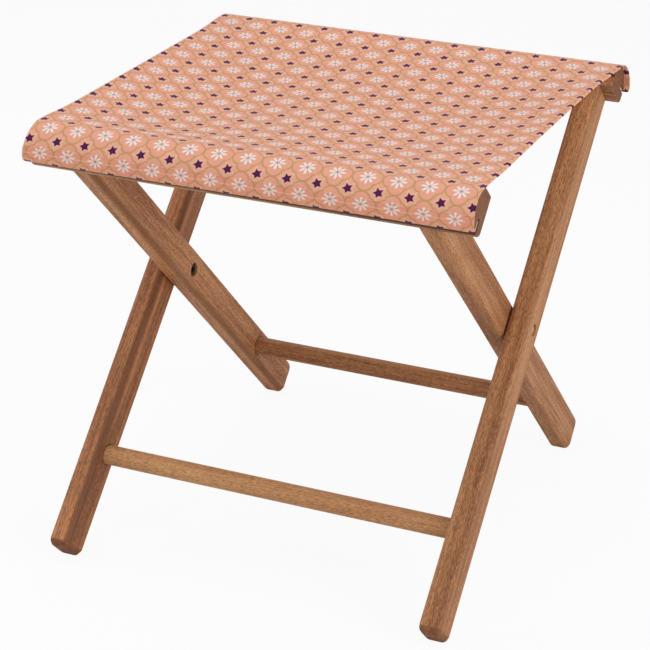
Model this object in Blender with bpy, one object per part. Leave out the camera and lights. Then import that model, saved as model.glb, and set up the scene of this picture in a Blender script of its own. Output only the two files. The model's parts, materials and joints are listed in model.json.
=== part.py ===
"""Folding stool: two crossed wooden frames on pivot bolts, with a cloth seat slung between their top rails.

Units are metres. X runs along the rails, -Y is the front, +Z is up and the floor is at Z 0.
The outer frame stands on its front feet and carries the rear rail.
The inner frame mirrors it: it stands on the rear feet and carries the front rail.
In a frame's own axes the pivot is the origin and Z runs up the legs; outward is away from the seat's middle.
"""

import math

import bmesh
import bpy
from mathutils import Matrix, Vector

# Legs
LEG_THICKNESS = 0.0221
LEG_WIDTH = 0.0368
LEG_EDGE_RADIUS = 0.0050
LEG_TILT = math.radians(45.35)
LEG_ABOVE_PIVOT = 0.2604
LEG_BELOW_PIVOT = 0.3138
FOOT_RADIUS = 0.0085
FOOT_FLAT_DEPTH = 0.0008
INNER_CLEAR_WIDTH = 0.3208

# Top rails: a flat base across the leg ends, straight sides and a domed top
RAIL_LENGTH = 0.4380
RAIL_WIDTH = 0.0410
RAIL_HEIGHT = 0.0295
RAIL_SIDE_HEIGHT = 0.0165
RAIL_LIP_CORNER = 0.0060
RAIL_INNER_CORNER = 0.0020
RAIL_END_CHAMFER = 0.0008

# Groove in the outward side of a rail that takes the hem of the cloth
KERF_ABOVE_BASE = 0.0120
KERF_WIDTH = 0.0040
KERF_DEPTH = 0.0130

# Round stretchers glued into blind sockets
STRETCHER_DIAMETER = 0.0198
STRETCHER_BELOW_PIVOT = 0.2092
STRETCHER_SOCKET_DEPTH = 0.0120
STRETCHER_CHAMFER = 0.0008

# Glued dowels between the leg ends and the rails
DOWEL_DIAMETER = 0.0060
DOWEL_LENGTH = 0.0300
DOWEL_CHAMFER = 0.0008
DOWEL_SPACING = 0.0120
DOWEL_SHIFT_INWARD = 0.0035
DOWEL_END_ROOM = 0.0005

# Pivot hardware
BOLT_DIAMETER = 0.0060
BOLT_HEAD_DIAMETER = 0.0112
BOLT_HEAD_RIM = 0.0012
BOLT_HEAD_DOME = 0.0018
BOLT_RECESS_DIAMETER = 0.0128
BOLT_RECESS_DEPTH = 0.0040
BOLT_GRIP_IN_NUT = 0.0090
NUT_SLEEVE_DIAMETER = 0.0086
NUT_SLEEVE_LENGTH = 0.0110
NUT_FLANGE_DIAMETER = 0.0132
NUT_FLANGE_THICKNESS = 0.0022
NUT_RECESS_DIAMETER = 0.0150
NUT_RECESS_DEPTH = 0.0045
NUT_SOCKET_ACROSS_CORNERS = 0.0058
NUT_SOCKET_DEPTH = 0.0012
WASHER_DIAMETER = 0.0180
WASHER_THICKNESS = 0.0005

# Cloth seat
CLOTH_END_INSET = 0.0025
CLOTH_THICKNESS = 0.0012
CLOTH_IN_KERF = 0.0110
SEAT_SAG = 0.0160
SEAT_EDGE_SAG = 0.0015
SEAT_EDGE_POWER = 4.5
SPLINE_BACK_ROOM = 0.0015
SPLINE_FRONT_INSET = 0.0015
SPLINE_END_INSET = 0.0010

# Gap left between pieces that touch
FIT_GAP = 0.0003

# Facets
ARC_STEPS = 4
EDGE_SEGMENTS = 3
ROUND_SIDES = 32
DOME_STEPS = 14
SEAT_COLUMNS = 24
SEAT_ROWS = 12

# Finishes: colour, roughness, metallic
OILED_WOOD = ((0.30, 0.14, 0.07), 0.55, 0.0)
DOWEL_WOOD = ((0.62, 0.45, 0.27), 0.65, 0.0)
BRASS = ((0.72, 0.55, 0.28), 0.35, 1.0)
DARK_STEEL = ((0.06, 0.055, 0.05), 0.45, 1.0)
DARK_NYLON = ((0.03, 0.028, 0.026), 0.5, 0.0)
WHITE_PLASTIC = ((0.80, 0.78, 0.74), 0.5, 0.0)
CORAL_CLOTH = ((0.78, 0.38, 0.26), 0.9, 0.0)

# Places that follow from the sizes above
LEG_GAP = WASHER_THICKNESS + 2 * FIT_GAP
INNER_LEG_X = INNER_CLEAR_WIDTH / 2 + LEG_THICKNESS / 2
OUTER_LEG_X = INNER_LEG_X + LEG_THICKNESS + LEG_GAP
FOOT_CORNER = Vector((LEG_WIDTH / 2 - FOOT_RADIUS, FOOT_RADIUS - LEG_BELOW_PIVOT))
PIVOT_HEIGHT = (
    FOOT_CORNER[0] * math.sin(LEG_TILT) - FOOT_CORNER[1] * math.cos(LEG_TILT)
    + FOOT_RADIUS - FOOT_FLAT_DEPTH
)
DOME_RISE = RAIL_HEIGHT - RAIL_SIDE_HEIGHT
DOME_RADIUS = ((RAIL_WIDTH / 2) ** 2 + DOME_RISE ** 2) / (2 * DOME_RISE)
DOME_HALF_ANGLE = math.asin(RAIL_WIDTH / 2 / DOME_RADIUS)
KERF_TOP = KERF_ABOVE_BASE + KERF_WIDTH
CLOTH_WIDTH = RAIL_LENGTH - 2 * CLOTH_END_INSET

OUTWARD = {"outer": 1, "inner": -1}
RAIL_END = {"outer": "rear", "inner": "front"}
FOOT_END = {"outer": "front", "inner": "rear"}
SIDES = {"left": -1, "right": 1}


def clear_scene():
    for old in list(bpy.data.objects):
        bpy.data.objects.remove(old, do_unlink=True)


def steps(start, stop, count):
    """Evenly spaced values from start to stop, both included."""
    return [start + (stop - start) * i / count for i in range(count + 1)]


def frame_matrix(frame):
    """Places a frame's own axes in the world, with the stool standing open."""
    turn = Matrix.Rotation(-OUTWARD[frame] * LEG_TILT, 4, "X")
    return Matrix.Translation((0, 0, PIVOT_HEIGHT)) @ turn


def add_empty(name, matrix):
    empty = bpy.data.objects.new(name, None)
    empty.matrix_world = matrix
    bpy.context.scene.collection.objects.link(empty)
    return empty


def add_object(name, bm, parent, finish=None):
    """Turns a bmesh in its parent's axes into an object. One with no finish is a hidden cutter."""
    mesh = bpy.data.meshes.new(name)
    bmesh.ops.recalc_face_normals(bm, faces=bm.faces[:])
    bm.to_mesh(mesh)
    bm.free()
    obj = bpy.data.objects.new(name, mesh)
    obj.parent = parent
    bpy.context.scene.collection.objects.link(obj)
    if finish is None:
        obj.hide_render = True
        obj.display_type = "WIRE"
        return obj
    colour, roughness, metallic = finish
    material = bpy.data.materials.new(name)
    material.use_nodes = True
    shader = material.node_tree.nodes["Principled BSDF"]
    shader.inputs["Base Color"].default_value = (*colour, 1.0)
    shader.inputs["Roughness"].default_value = roughness
    shader.inputs["Metallic"].default_value = metallic
    mesh.materials.append(material)
    mesh.shade_smooth()
    mesh.set_sharp_from_angle(angle=math.radians(35))
    return obj


def cut(target, cutter):
    boolean = target.modifiers.new(cutter.name, "BOOLEAN")
    boolean.operation = "DIFFERENCE"
    boolean.solver = "EXACT"
    boolean.object = cutter


def prism(points, x_mid, length):
    """Extrudes an outline in the YZ plane along X."""
    bm = bmesh.new()
    outline = [bm.verts.new((x_mid - length / 2, y, z)) for y, z in points]
    cap = bm.faces.new(outline)
    extruded = bmesh.ops.extrude_face_region(bm, geom=[cap])["geom"]
    far = [item for item in extruded if isinstance(item, bmesh.types.BMVert)]
    bmesh.ops.translate(bm, vec=(length, 0, 0), verts=far)
    return bm


def block(low, high):
    """A box between two corners."""
    size = Vector(high) - Vector(low)
    middle = (Vector(high) + Vector(low)) / 2
    bm = bmesh.new()
    bmesh.ops.create_cube(bm, size=1.0, matrix=Matrix.Translation(middle) @ Matrix.Diagonal((*size, 1.0)))
    return bm


def turned(profile, axis, place, sides=ROUND_SIDES):
    """Spins a profile of (distance along axis, radius) points about an axis through place."""
    along = Vector(axis)
    across = along.orthogonal().normalized()
    bm = bmesh.new()
    chain = [bm.verts.new(Vector(place) + along * d + across * r) for d, r in profile]
    edges = [bm.edges.new(pair) for pair in zip(chain, chain[1:])]
    line = chain + edges
    bmesh.ops.spin(bm, geom=line, cent=place, axis=along, angle=math.tau, steps=sides, use_merge=True)
    bmesh.ops.remove_doubles(bm, verts=bm.verts[:], dist=1e-6)
    return bm


def rod(radius, axis, place, start, stop, chamfer=0.0):
    """A solid round bar along an axis, with its ends chamfered."""
    profile = [(start, 0), (start, radius - chamfer)]
    if chamfer:
        profile += [(start + chamfer, radius), (stop - chamfer, radius)]
    profile += [(stop, radius - chamfer), (stop, 0)]
    return turned(profile, axis, place)


def cap_edges(bm):
    """The edges that lie in the two end planes of a prism."""
    return [e for e in bm.edges if abs(e.verts[0].co.x - e.verts[1].co.x) < 1e-7]


def bevel(bm, edges, radius, segments):
    bmesh.ops.bevel(
        bm, geom=edges, offset=radius, offset_type="OFFSET", segments=segments, profile=0.5, affect="EDGES"
    )


def foot_outline():
    """The rounded foot, from its outward corner to its inward one, with a small flat on the floor."""
    floor_angle = math.pi / 2 - LEG_TILT
    half_flat = math.acos(1 - FOOT_FLAT_DEPTH / FOOT_RADIUS)
    angles = steps(0, floor_angle - half_flat, ARC_STEPS)
    angles += steps(floor_angle + half_flat, math.pi / 2, ARC_STEPS)
    outer = [
        (FOOT_CORNER[0] + FOOT_RADIUS * math.cos(a), FOOT_CORNER[1] - FOOT_RADIUS * math.sin(a))
        for a in angles
    ]
    inner = [
        (-FOOT_CORNER[0] - FOOT_RADIUS * math.sin(a), FOOT_CORNER[1] - FOOT_RADIUS * math.cos(a))
        for a in steps(0, math.pi / 2, 2 * ARC_STEPS)
    ]
    return outer + inner


def make_leg(name, frame, parent, x):
    """One leg: a square top end under the rail, rounded long edges and a rounded foot."""
    top = LEG_ABOVE_PIVOT - FIT_GAP
    outline = [(-LEG_WIDTH / 2, top), (LEG_WIDTH / 2, top)] + foot_outline()
    bm = prism([(OUTWARD[frame] * y, z) for y, z in outline], x, LEG_THICKNESS)
    long_edges = [e for e in cap_edges(bm) if min(v.co.z for v in e.verts) < top - LEG_EDGE_RADIUS]
    bevel(bm, long_edges, LEG_EDGE_RADIUS, EDGE_SEGMENTS)
    return add_object(name, bm, parent, OILED_WOOD)


def rail_surface(angle, offset):
    """A point at an offset from the domed top, where the surface faces angle away from the leg's line."""
    held = max(-DOME_HALF_ANGLE, min(DOME_HALF_ANGLE, angle))
    centre = LEG_ABOVE_PIVOT + RAIL_HEIGHT - DOME_RADIUS
    y = DOME_RADIUS * math.sin(held) + offset * math.sin(angle)
    z = centre + DOME_RADIUS * math.cos(held) + offset * math.cos(angle)
    return y, z


def corner_arc(centre, radius, start, stop):
    return [
        (centre[0] + radius * math.cos(a), centre[1] + radius * math.sin(a))
        for a in steps(start, stop, ARC_STEPS)
    ]


def make_rail(frame, parent):
    """A top rail with the groove for the hem along its outward side."""
    half = RAIL_WIDTH / 2
    base = LEG_ABOVE_PIVOT
    outline = [rail_surface(a, 0) for a in steps(-DOME_HALF_ANGLE, DOME_HALF_ANGLE, DOME_STEPS)]
    lip_centre = (half - RAIL_LIP_CORNER, base + RAIL_LIP_CORNER)
    outline += corner_arc(lip_centre, RAIL_LIP_CORNER, 0, -math.pi / 2)
    inner_centre = (-half + RAIL_INNER_CORNER, base + RAIL_INNER_CORNER)
    outline += corner_arc(inner_centre, RAIL_INNER_CORNER, -math.pi / 2, -math.pi)
    out = OUTWARD[frame]
    bm = prism([(out * y, z) for y, z in outline], 0, RAIL_LENGTH)
    bevel(bm, cap_edges(bm), RAIL_END_CHAMFER, 1)
    rail = add_object(f"{RAIL_END[frame]}_rail", bm, parent, OILED_WOOD)
    mouth = half + KERF_WIDTH
    y_range = sorted((out * (half - KERF_DEPTH), out * mouth))
    low = (-RAIL_LENGTH, y_range[0], base + KERF_ABOVE_BASE)
    high = (RAIL_LENGTH, y_range[1], base + KERF_TOP)
    cut(rail, add_object(f"{rail.name}_kerf_cutter", block(low, high), parent))
    return rail


def make_dowels(frame, parent, rail, legs):
    """Two glued dowels across each joint between a leg end and the rail."""
    number = 0
    length = DOWEL_LENGTH / 2
    for leg, x in legs:
        for share in (-0.5, 0.5):
            number += 1
            y = OUTWARD[frame] * (share * DOWEL_SPACING - DOWEL_SHIFT_INWARD)
            place = (x, y, LEG_ABOVE_PIVOT)
            name = f"{RAIL_END[frame]}_rail_dowel_{number}"
            pin = rod(DOWEL_DIAMETER / 2, (0, 0, 1), place, -length, length, DOWEL_CHAMFER)
            add_object(name, pin, parent, DOWEL_WOOD)
            room = length + DOWEL_END_ROOM
            hole = rod(DOWEL_DIAMETER / 2 + FIT_GAP, (0, 0, 1), place, -room, room)
            cutter = add_object(f"{name}_hole", hole, parent)
            cut(leg, cutter)
            cut(rail, cutter)


def make_stretcher(frame, parent, legs):
    """A round bar between the two legs of a frame, its ends in blind sockets."""
    inner_face = legs[1][1] - LEG_THICKNESS / 2
    place = (0, 0, -STRETCHER_BELOW_PIVOT)
    reach = inner_face + STRETCHER_SOCKET_DEPTH
    radius = STRETCHER_DIAMETER / 2
    name = f"{FOOT_END[frame]}_stretcher"
    bar = rod(radius, (1, 0, 0), place, FIT_GAP - reach, reach - FIT_GAP, STRETCHER_CHAMFER)
    add_object(name, bar, parent, OILED_WOOD)
    socket = add_object(f"{name}_sockets", rod(radius + FIT_GAP, (1, 0, 0), place, -reach, reach), parent)
    for leg, _ in legs:
        cut(leg, socket)


def make_bolt(side, parent, leg):
    """A domed bolt that sits in a recess in the outer leg and passes through to the nut."""
    sign = SIDES[side]
    face = OUTER_LEG_X + LEG_THICKNESS / 2
    floor = face - BOLT_RECESS_DEPTH
    seat = floor + FIT_GAP
    nut_mouth = INNER_CLEAR_WIDTH / 2 + NUT_RECESS_DEPTH - FIT_GAP + NUT_SLEEVE_LENGTH
    tip = nut_mouth - BOLT_GRIP_IN_NUT
    shank = BOLT_DIAMETER / 2
    head = BOLT_HEAD_DIAMETER / 2
    rim = seat + BOLT_HEAD_RIM
    turns = steps(0, math.pi / 2, 2 * ARC_STEPS)[:-1]
    dome = [(rim + BOLT_HEAD_DOME * math.sin(a), head * math.cos(a)) for a in turns]
    profile = [(tip, 0), (tip, shank), (seat, shank), (seat, head)] + dome + [(rim + BOLT_HEAD_DOME, 0)]
    axis = (sign, 0, 0)
    origin = (0, 0, 0)
    add_object(f"pivot_bolt_{side}", turned(profile, axis, origin), parent, BRASS)
    hole = rod(shank + FIT_GAP, axis, origin, face - 2 * LEG_THICKNESS, face + LEG_THICKNESS)
    cut(leg, add_object(f"pivot_bolt_hole_{side}", hole, parent))
    recess = rod(BOLT_RECESS_DIAMETER / 2, axis, origin, floor, face + LEG_THICKNESS)
    cut(leg, add_object(f"pivot_bolt_recess_{side}", recess, parent))


def make_nut(side, parent, leg):
    """A sleeve nut let into the inner leg, with a hexagon socket in its flange."""
    sign = SIDES[side]
    face = INNER_CLEAR_WIDTH / 2
    floor = face + NUT_RECESS_DEPTH
    seat = floor - FIT_GAP
    mouth = seat + NUT_SLEEVE_LENGTH
    sleeve = NUT_SLEEVE_DIAMETER / 2
    flange = NUT_FLANGE_DIAMETER / 2
    bore = BOLT_DIAMETER / 2 + FIT_GAP
    bore_end = mouth - BOLT_GRIP_IN_NUT - FIT_GAP
    back = seat - NUT_FLANGE_THICKNESS
    profile = [(back, 0), (back, flange), (seat, flange), (seat, sleeve), (mouth, sleeve)]
    profile += [(mouth, bore), (bore_end, bore), (bore_end, 0)]
    axis = (sign, 0, 0)
    origin = (0, 0, 0)
    nut = add_object(f"pivot_nut_{side}", turned(profile, axis, origin), parent, DARK_STEEL)
    socket_profile = [
        (back - NUT_SOCKET_DEPTH, 0), (back - NUT_SOCKET_DEPTH, NUT_SOCKET_ACROSS_CORNERS / 2),
        (back + NUT_SOCKET_DEPTH, NUT_SOCKET_ACROSS_CORNERS / 2), (back + NUT_SOCKET_DEPTH, 0),
    ]
    cut(nut, add_object(f"pivot_nut_socket_{side}", turned(socket_profile, axis, origin, sides=6), parent))
    hole = rod(sleeve + FIT_GAP, axis, origin, face - LEG_THICKNESS, face + 2 * LEG_THICKNESS)
    cut(leg, add_object(f"pivot_nut_hole_{side}", hole, parent))
    recess = rod(NUT_RECESS_DIAMETER / 2, axis, origin, face - LEG_THICKNESS, floor)
    cut(leg, add_object(f"pivot_nut_recess_{side}", recess, parent))


def make_washer(side, parent):
    """A thin washer that keeps the crossing legs from rubbing."""
    near = INNER_LEG_X + LEG_THICKNESS / 2 + FIT_GAP
    far = near + WASHER_THICKNESS
    hole = BOLT_DIAMETER / 2 + FIT_GAP
    rim = WASHER_DIAMETER / 2
    profile = [(near, hole), (near, rim), (far, rim), (far, hole), (near, hole)]
    ring = turned(profile, (SIDES[side], 0, 0), (0, 0, 0))
    add_object(f"pivot_washer_{side}", ring, parent, DARK_NYLON)


def seat_edge():
    """Where the cloth leaves the rails: its slope there, its distance from the middle and its height."""
    slope = 0.0
    for _ in range(20):
        y, z = rail_surface(-(LEG_TILT + slope), FIT_GAP + CLOTH_THICKNESS / 2)
        place = frame_matrix("outer") @ Vector((0, y, z))
        slope = math.atan(2 * SEAT_SAG / place.y)
    return slope, place.y, place.z


def wrap_path(slope, offset):
    """The cloth round a rail at an offset from the wood: over the dome, down the side and into the groove."""
    half = RAIL_WIDTH / 2
    path = [rail_surface(a, offset) for a in steps(-(LEG_TILT + slope), DOME_HALF_ANGLE, DOME_STEPS)]
    path += [rail_surface(a, offset) for a in steps(DOME_HALF_ANGLE, math.pi / 2, ARC_STEPS)[1:]]
    lip = (half, LEG_ABOVE_PIVOT + KERF_TOP)
    path += corner_arc(lip, offset, 0, -math.pi / 2)
    path.append((half - CLOTH_IN_KERF, LEG_ABOVE_PIVOT + KERF_TOP - offset))
    return path


def make_wrap(frame, parent, slope):
    """The part of the cloth that lies round a rail, and the spline that holds its hem in the groove."""
    out = OUTWARD[frame]
    end = RAIL_END[frame]
    outside = wrap_path(slope, FIT_GAP + CLOTH_THICKNESS)
    inside = wrap_path(slope, FIT_GAP)
    outline = [(out * y, z) for y, z in outside + inside[::-1]]
    add_object(f"{end}_cloth_wrap", prism(outline, 0, CLOTH_WIDTH), parent, CORAL_CLOTH)
    half = RAIL_WIDTH / 2
    y_range = sorted((out * (half - KERF_DEPTH + SPLINE_BACK_ROOM), out * (half - SPLINE_FRONT_INSET)))
    reach = RAIL_LENGTH / 2 - SPLINE_END_INSET
    low = (-reach, y_range[0], LEG_ABOVE_PIVOT + KERF_ABOVE_BASE + FIT_GAP)
    high = (reach, y_range[1], LEG_ABOVE_PIVOT + KERF_TOP - CLOTH_THICKNESS - 2 * FIT_GAP)
    add_object(f"{end}_hem_spline", block(low, high), parent, WHITE_PLASTIC)


def seat_drop(x, y, reach):
    """How far the seat hangs below its line on the rails: deepest in the middle, nearly none at the sides."""
    across = 1 - abs(2 * x / CLOTH_WIDTH) ** SEAT_EDGE_POWER
    sag = SEAT_EDGE_SAG + (SEAT_SAG - SEAT_EDGE_SAG) * across
    return sag * (1 - (y / reach) ** 2)


def make_seat_half(frame, parent, reach, height):
    """Half of the hanging seat, from its rail to the fold along the middle."""
    out = OUTWARD[frame]
    bm = bmesh.new()
    columns = steps(-CLOTH_WIDTH / 2, CLOTH_WIDTH / 2, SEAT_COLUMNS)
    rows = steps(reach - FIT_GAP, FIT_GAP / 2, SEAT_ROWS)
    grid = [
        [bm.verts.new((x, out * y, height - seat_drop(x, y, reach) - CLOTH_THICKNESS / 2)) for x in columns]
        for y in rows
    ]
    for near, far in zip(grid, grid[1:]):
        for i in range(SEAT_COLUMNS):
            bm.faces.new((near[i], near[i + 1], far[i + 1], far[i]))
    extruded = bmesh.ops.extrude_face_region(bm, geom=bm.faces[:])["geom"]
    top = [item for item in extruded if isinstance(item, bmesh.types.BMVert)]
    bmesh.ops.translate(bm, vec=(0, 0, CLOTH_THICKNESS), verts=top)
    bmesh.ops.transform(bm, matrix=frame_matrix(frame).inverted(), verts=bm.verts[:])
    add_object(f"{RAIL_END[frame]}_seat_cloth", bm, parent, CORAL_CLOTH)


def make_frame(frame, leg_x, slope):
    """One crossed frame with its legs, stretcher, rail, dowels and the cloth on its rail."""
    parent = add_empty(f"{frame}_frame", frame_matrix(frame))
    legs = []
    for side, sign in SIDES.items():
        x = sign * leg_x
        legs.append((make_leg(f"{frame}_leg_{side}", frame, parent, x), x))
    rail = make_rail(frame, parent)
    make_dowels(frame, parent, rail, legs)
    make_stretcher(frame, parent, legs)
    make_wrap(frame, parent, slope)
    return parent, dict(zip(SIDES, (leg for leg, _ in legs)))


clear_scene()
edge_slope, edge_reach, edge_height = seat_edge()
outer_parent, outer_legs = make_frame("outer", OUTER_LEG_X, edge_slope)
inner_parent, inner_legs = make_frame("inner", INNER_LEG_X, edge_slope)
for side_name in SIDES:
    make_bolt(side_name, outer_parent, outer_legs[side_name])
    make_nut(side_name, inner_parent, inner_legs[side_name])
    make_washer(side_name, inner_parent)
make_seat_half("outer", outer_parent, edge_reach, edge_height)
make_seat_half("inner", inner_parent, edge_reach, edge_height)
bpy.context.view_layer.update()
print(f"pivot {PIVOT_HEIGHT:.5f} m up")
print(f"cloth leaves the rails {edge_reach:.5f} m from the middle and {edge_height:.5f} m up")
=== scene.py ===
# %% [markdown]
# # A folding stool, dressed
#
# The stool is two crossed wooden frames on pivot bolts, with one printed cotton cloth slung between
# their top rails. The frame that is loaded here already has every rigid piece at its real size.
# This lesson gives those pieces their finishes, and makes the one piece that solids show poorly: the cloth.

# %% Load the frame
import json
import math

import bpy
from mathutils import Euler, Matrix, Vector


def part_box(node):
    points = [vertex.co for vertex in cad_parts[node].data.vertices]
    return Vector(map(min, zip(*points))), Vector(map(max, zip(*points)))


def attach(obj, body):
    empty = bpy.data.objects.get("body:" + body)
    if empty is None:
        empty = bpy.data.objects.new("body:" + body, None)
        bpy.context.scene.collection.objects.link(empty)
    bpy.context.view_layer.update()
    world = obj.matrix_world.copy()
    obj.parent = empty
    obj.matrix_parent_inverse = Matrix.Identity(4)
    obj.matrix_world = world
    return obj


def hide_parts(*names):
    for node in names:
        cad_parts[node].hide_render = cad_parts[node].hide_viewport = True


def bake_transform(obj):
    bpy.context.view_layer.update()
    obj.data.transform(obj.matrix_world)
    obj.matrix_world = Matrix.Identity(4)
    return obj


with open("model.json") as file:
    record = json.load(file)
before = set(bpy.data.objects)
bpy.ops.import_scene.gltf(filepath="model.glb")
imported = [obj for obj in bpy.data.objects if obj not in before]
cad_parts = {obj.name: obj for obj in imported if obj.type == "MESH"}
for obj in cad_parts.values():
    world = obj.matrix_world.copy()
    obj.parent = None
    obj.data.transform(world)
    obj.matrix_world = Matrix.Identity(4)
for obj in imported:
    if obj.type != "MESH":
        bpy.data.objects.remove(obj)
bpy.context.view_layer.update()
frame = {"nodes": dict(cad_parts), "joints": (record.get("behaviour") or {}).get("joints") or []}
nodes = frame["nodes"]
bpy.ops.object.select_all(action="DESELECT")

# %% [markdown]
# ## The camera
#
# A camera can be aimed with a constraint, but a fixed place and turn are easier to repeat. The turn is
# built from three plain ones: tip the camera up from looking straight down, swing it round the stool,
# and roll it by the tenth of a degree that the picture leans.

# %% Camera
CAMERA_PLACE = Vector((0.8225, -1.8672, 1.1053))
CAMERA_AZIMUTH = math.radians(24.13)
CAMERA_ELEVATION = math.radians(24.0)
CAMERA_ROLL = math.radians(0.12)
CAMERA_LENS = 123.7

swing = Matrix.Rotation(CAMERA_AZIMUTH, 4, "Z")
tip = Matrix.Rotation(math.pi / 2 - CAMERA_ELEVATION, 4, "X")
roll = Matrix.Rotation(CAMERA_ROLL, 4, "Z")
bpy.ops.object.camera_add(location=CAMERA_PLACE, rotation=(swing @ tip @ roll).to_euler())
camera = bpy.context.object
camera.name = "studio_camera"
camera.data.lens = CAMERA_LENS
bpy.context.scene.camera = camera
print(f"camera {CAMERA_PLACE.length:.2f} m from the floor under the stool")

# %% [markdown]
# ## Nodes in a few words
#
# Every finish below is drawn by shader nodes. Adding nodes one by one makes long code, so a few small
# helpers come first: one adds a node, one sets or links a socket, one does arithmetic, and two mix
# colours or shaders. They work for the world too, because it has a node tree as a material does. A colour
# is written as the 0 to 255 values that an eye reads off a screen, and turned into the linear values that
# the renderer works in.

# %% Node helpers
def screen_colour(red, green, blue):
    """A colour as read off a screen, as the linear values of a shader."""
    linear = []
    for part in (red, green, blue):
        part = part / 255
        linear.append(part / 12.92 if part <= 0.04045 else ((part + 0.055) / 1.055) ** 2.4)
    return (*linear, 1.0)


def add_node(material, kind, **settings):
    """Adds a node to a material, or to the world, and sets its options."""
    node = material.node_tree.nodes.new(kind)
    for name, value in settings.items():
        setattr(node, name, value)
    return node


def feed(material, socket, value):
    """Links a socket to another one, or sets it to a plain value."""
    if isinstance(value, bpy.types.NodeSocket):
        material.node_tree.links.new(value, socket)
    else:
        socket.default_value = value


def calc(material, operation, *values):
    node = add_node(material, "ShaderNodeMath", operation=operation)
    for socket, value in zip(node.inputs, values):
        feed(material, socket, value)
    return node.outputs[0]


def mix(material, share, first, second, blend_type="MIX"):
    """Mixes two colours. A Mix node has them in inputs 6 and 7, and gives the result in output 2."""
    node = add_node(material, "ShaderNodeMix", data_type="RGBA", blend_type=blend_type)
    feed(material, node.inputs[0], share)
    feed(material, node.inputs[6], first)
    feed(material, node.inputs[7], second)
    return node.outputs[2]


def mix_shaders(material, share, first, second):
    node = add_node(material, "ShaderNodeMixShader")
    for socket, value in zip(node.inputs, (share, first, second)):
        feed(material, socket, value)
    return node.outputs[0]


def remap(material, value, low, high, to_low=0.0, to_high=1.0):
    """Carries a range of values smoothly onto another range."""
    node = add_node(material, "ShaderNodeMapRange", interpolation_type="SMOOTHSTEP")
    for socket, number in zip(node.inputs, (value, low, high, to_low, to_high)):
        feed(material, socket, number)
    return node.outputs[0]


def new_finish(name):
    """A material with only a Principled shader, and that shader."""
    material = bpy.data.materials.new(name)
    material.use_nodes = True
    return material, material.node_tree.nodes["Principled BSDF"]


print("node helpers ready")

# %% [markdown]
# ## Floor, backdrop and light
#
# A studio photograph of a product has a white sweep and big soft lamps. The world is white to the
# camera and to reflections, and a plain grey to everything else, so the background is pale without
# flooding the stool with light. The floor is mixed towards white for the camera in the same way, and
# keeps the stool's shadow. Four large area lamps give the shape: a key from the right, a weaker one from
# the left, one overhead, and a fill near the camera.

# %% World
WORLD_LEVEL = 0.33
WHITE = (1, 1, 1, 1)

scene = bpy.context.scene
scene.view_settings.view_transform = "Standard"
world = bpy.data.worlds.new("white_studio")
scene.world = world
world.use_nodes = True
room = world.node_tree.nodes["Background"]
room.inputs["Color"].default_value = WHITE
room.inputs["Strength"].default_value = WORLD_LEVEL
sweep = add_node(world, "ShaderNodeBackground")
sweep.inputs["Color"].default_value = WHITE
world_ray = add_node(world, "ShaderNodeLightPath").outputs
seen_in_gloss = calc(world, "MAXIMUM", world_ray["Is Glossy Ray"], world_ray["Is Transmission Ray"])
seen = calc(world, "MAXIMUM", world_ray["Is Camera Ray"], seen_in_gloss)
backdrop = mix_shaders(world, seen, room.outputs[0], sweep.outputs[0])
feed(world, world.node_tree.nodes["World Output"].inputs["Surface"], backdrop)
print(f"white world that lights the stool at {WORLD_LEVEL}")

# %% Floor
FLOOR_SIZE = 14.0
FLOOR_GREY = (0.88, 0.88, 0.88, 1)
FLOOR_LIFT = 0.92

bpy.ops.mesh.primitive_plane_add(size=FLOOR_SIZE, location=(0, 0, 0))
floor = bpy.context.object
floor.name = "studio_floor"
floor_finish, floor_shader = new_finish("pale_floor")
floor_shader.inputs["Base Color"].default_value = FLOOR_GREY
floor_shader.inputs["Roughness"].default_value = 0.9
floor_shader.inputs["Specular IOR Level"].default_value = 0.1
floor_ray = add_node(floor_finish, "ShaderNodeLightPath").outputs
floor_glow = add_node(floor_finish, "ShaderNodeEmission")
glow_share = calc(floor_finish, "MULTIPLY", floor_ray["Is Camera Ray"], FLOOR_LIFT)
floor_surface = mix_shaders(floor_finish, glow_share, floor_shader.outputs[0], floor_glow.outputs[0])
feed(floor_finish, floor_finish.node_tree.nodes["Material Output"].inputs["Surface"], floor_surface)
floor.data.materials.append(floor_finish)
print(f"pale floor, {FLOOR_SIZE} m wide")

# %% Lamps
STOOL_MIDDLE = Vector((0, 0, 0.25))
LAMPS = {
    "key_lamp": ((2.2, -0.6, 1.05), 1.5, 28.0),
    "left_lamp": ((-2.2, -0.5, 0.8), 1.3, 20.0),
    "overhead_lamp": ((-0.2, -0.2, 2.3), 1.8, 16.0),
    "fill_lamp": ((-0.4, -2.6, 0.5), 1.4, 3.5),
}
for lamp_name, (place, size, power) in LAMPS.items():
    aim = (STOOL_MIDDLE - Vector(place)).to_track_quat("-Z", "Y")
    bpy.ops.object.light_add(type="AREA", location=place, rotation=aim.to_euler())
    lamp = bpy.context.object
    lamp.name = lamp_name
    lamp.data.size = size
    lamp.data.energy = power
    print(f"{lamp_name}: {power} W over {size} m")

# %% [markdown]
# ## Oiled wood
#
# The legs, rails and round bars are one oiled hardwood, sawn from different boards. A photograph could
# be wrapped on them, but its grain would stop at every corner. Here the grain is a solid pattern: the
# piece's own coordinates are turned until one axis runs along the grain, then squeezed on that axis,
# so plain noise becomes long streaks that carry on round every edge. Broad bands, fibres and short
# flecks are three sizes of the same idea. Where the flecks are strongest they are open pores, which hold
# dark oil, and where they are weakest they are rays that catch the light.

# %% Pattern helpers
def placed(material, vector, location=(0, 0, 0), rotation=(0, 0, 0), scale=(1, 1, 1)):
    node = add_node(material, "ShaderNodeMapping")
    feed(material, node.inputs["Vector"], vector)
    node.inputs["Location"].default_value = location
    node.inputs["Rotation"].default_value = rotation
    node.inputs["Scale"].default_value = scale
    return node.outputs[0]


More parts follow.
